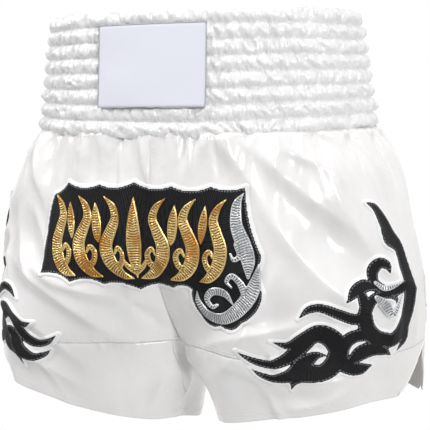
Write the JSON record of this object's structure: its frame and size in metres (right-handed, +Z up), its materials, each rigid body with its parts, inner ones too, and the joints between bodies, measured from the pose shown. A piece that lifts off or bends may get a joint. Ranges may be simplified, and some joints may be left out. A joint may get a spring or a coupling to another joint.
{
  "type": "boxing shorts",
  "caption": "Satin boxing shorts with a wide gathered elastic waistband, two short legs with open side slits, a blank patch and embroidered appliques.",
  "frame": {"origin": "centre of the waist opening at the waistband's top edge", "axes": "+Z up out of the waist opening, -Y out of the front, +X to the wearer's left"},
  "size_m": [0.4312, 0.2432, 0.3838],
  "materials": {
    "satin": "white polyester satin",
    "lining": "white woven lining",
    "elastic": "white knitted elastic",
    "patch": "smooth pale lavender twill",
    "patch_border": "grey overlock stitch",
    "label": "blank woven satin",
    "binding": "folded satin binding",
    "edging": "dense white satin stitch",
    "black_ground": "black embroidery thread",
    "gold_thread": "metallic gold embroidery",
    "silver_thread": "metallic silver embroidery"
  },
  "bodies": {
    "root": {"waistband_shell": "satin", "waistband_lining": "lining", "elastic_row_1": "elastic", "elastic_row_2": "elastic", "elastic_row_3": "elastic", "elastic_row_4": "elastic", "elastic_row_5": "elastic", "elastic_row_6": "elastic", "elastic_row_7": "elastic", "elastic_row_8": "elastic", "waist_patch": "patch", "waist_patch_border": "patch_border", "size_label": "label", "front_panel_left": "satin", "front_panel_right": "satin", "back_panel_left": "satin", "back_panel_right": "satin", "hem_band_front_left": "satin", "hem_band_front_right": "satin", "hem_band_back_left": "satin", "hem_band_back_right": "satin", "crotch_gusset": "satin", "slit_binding_front_left": "binding", "slit_binding_front_right": "binding", "slit_binding_back_left": "binding", "slit_binding_back_right": "binding", "emblem_edging": "edging", "emblem_ground": "black_ground", "emblem_gold_1": "gold_thread", "emblem_gold_2": "gold_thread", "emblem_gold_3": "gold_thread", "emblem_gold_4": "gold_thread", "emblem_gold_5": "gold_thread", "emblem_gold_6": "gold_thread", "emblem_gold_7": "gold_thread", "emblem_gold_8": "gold_thread", "emblem_gold_9": "gold_thread", "emblem_silver_1": "silver_thread", "emblem_silver_2": "silver_thread", "emblem_silver_3": "silver_thread", "front_flame_edging_left": "edging", "front_flame_left": "black_ground", "front_flame_accent_left": "silver_thread", "back_flame_edging_left": "edging", "back_flame_left": "black_ground", "front_flame_edging_right": "edging", "front_flame_right": "black_ground", "front_flame_accent_right": "silver_thread", "back_flame_edging_right": "edging", "back_flame_right": "black_ground"}
  },
  "joints": []
}
